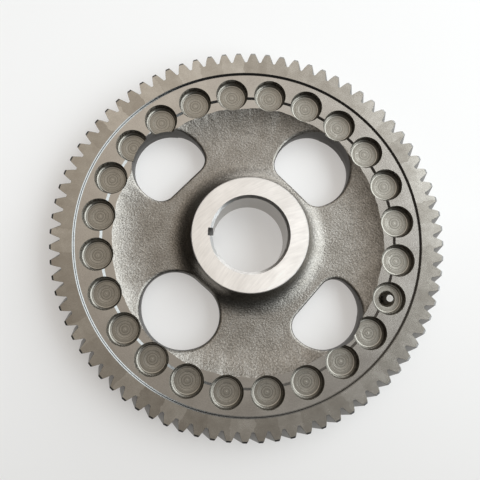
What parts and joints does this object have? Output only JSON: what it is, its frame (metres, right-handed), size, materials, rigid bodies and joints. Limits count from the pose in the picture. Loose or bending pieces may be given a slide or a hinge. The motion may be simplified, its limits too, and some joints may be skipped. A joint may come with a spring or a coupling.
{
  "type": "toothed flywheel",
  "caption": "Helical-toothed flywheel: a ring gear shrunk on a forged, windowed body with a keyed bore, a raised hub, a circle of blind rim pockets and a timing pin.",
  "frame": {"origin": "on the wheel's axis, in the plane of the rear faces, on which the wheel lies flat", "axes": "+Z along the axis towards the raised front of the hub; the rim's pockets lie at 7.5 degrees from +X and every 15 degrees on from there, and the keyway is near -X"},
  "size_m": [0.2142, 0.2142, 0.0256],
  "materials": {
    "gear_steel": "fine-turned and hardened steel, satin",
    "forged_steel": "forged steel web, machined rim and ground hub face",
    "pin_steel": "ground steel"
  },
  "bodies": {
    "root": {"ring_gear": "gear_steel", "flywheel_body": "forged_steel", "timing_pin": "pin_steel"}
  },
  "joints": []
}
